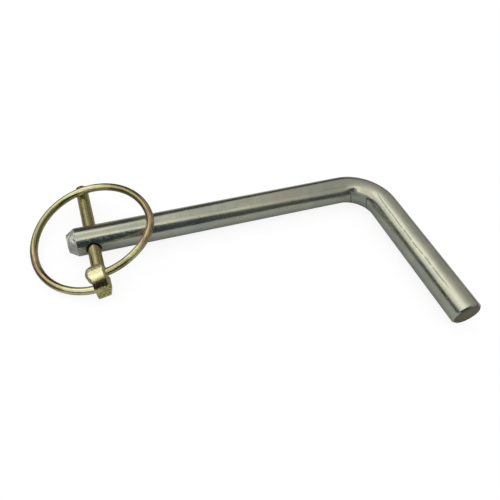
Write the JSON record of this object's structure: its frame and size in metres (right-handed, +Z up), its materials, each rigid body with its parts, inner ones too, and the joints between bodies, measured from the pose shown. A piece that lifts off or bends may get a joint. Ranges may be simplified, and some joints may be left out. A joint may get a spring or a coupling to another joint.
{
  "type": "securing pin",
  "caption": "Bent steel securing pin with a linch pin through its cross hole; the linch pin's spring ring is closed over the shank.",
  "frame": {"origin": "on the long leg's axis, midway between the cross hole's axis and the start of the bend, one bar radius above the surface that the pin lies on", "axes": "+X along the long leg from its chamfered tip towards the bend, +Y away from the short leg and towards the linch pin's tip, +Z up, square to the plane of both legs"},
  "size_m": [0.1374, 0.0912, 0.0136],
  "materials": {
    "bright_zinc": "bright zinc plated, drawn bar",
    "yellow_zinc": "yellow passivated zinc on a rough forging",
    "yellow_zinc_wire": "yellow passivated zinc on smooth wire"
  },
  "bodies": {
    "bent_pin": {"bent_pin": "bright_zinc"},
    "linch_pin": {"linch_pin": "yellow_zinc"},
    "spring_ring": {"spring_ring": "yellow_zinc_wire"}
  },
  "joints": [
    {"name": "linch_pin_slide", "type": "slide", "parent": "bent_pin", "child": "linch_pin", "axis": [0, -1, 0], "range_m": [-0.0084, 0.045]},
    {"name": "ring_hinge", "type": "hinge", "parent": "linch_pin", "child": "spring_ring", "pos_m": [-0.0481, -0.0187, 0], "axis": [0.9714, 0, 0.2373], "range_deg": [0, 180], "deforming": ["spring_ring"]}
  ]
}
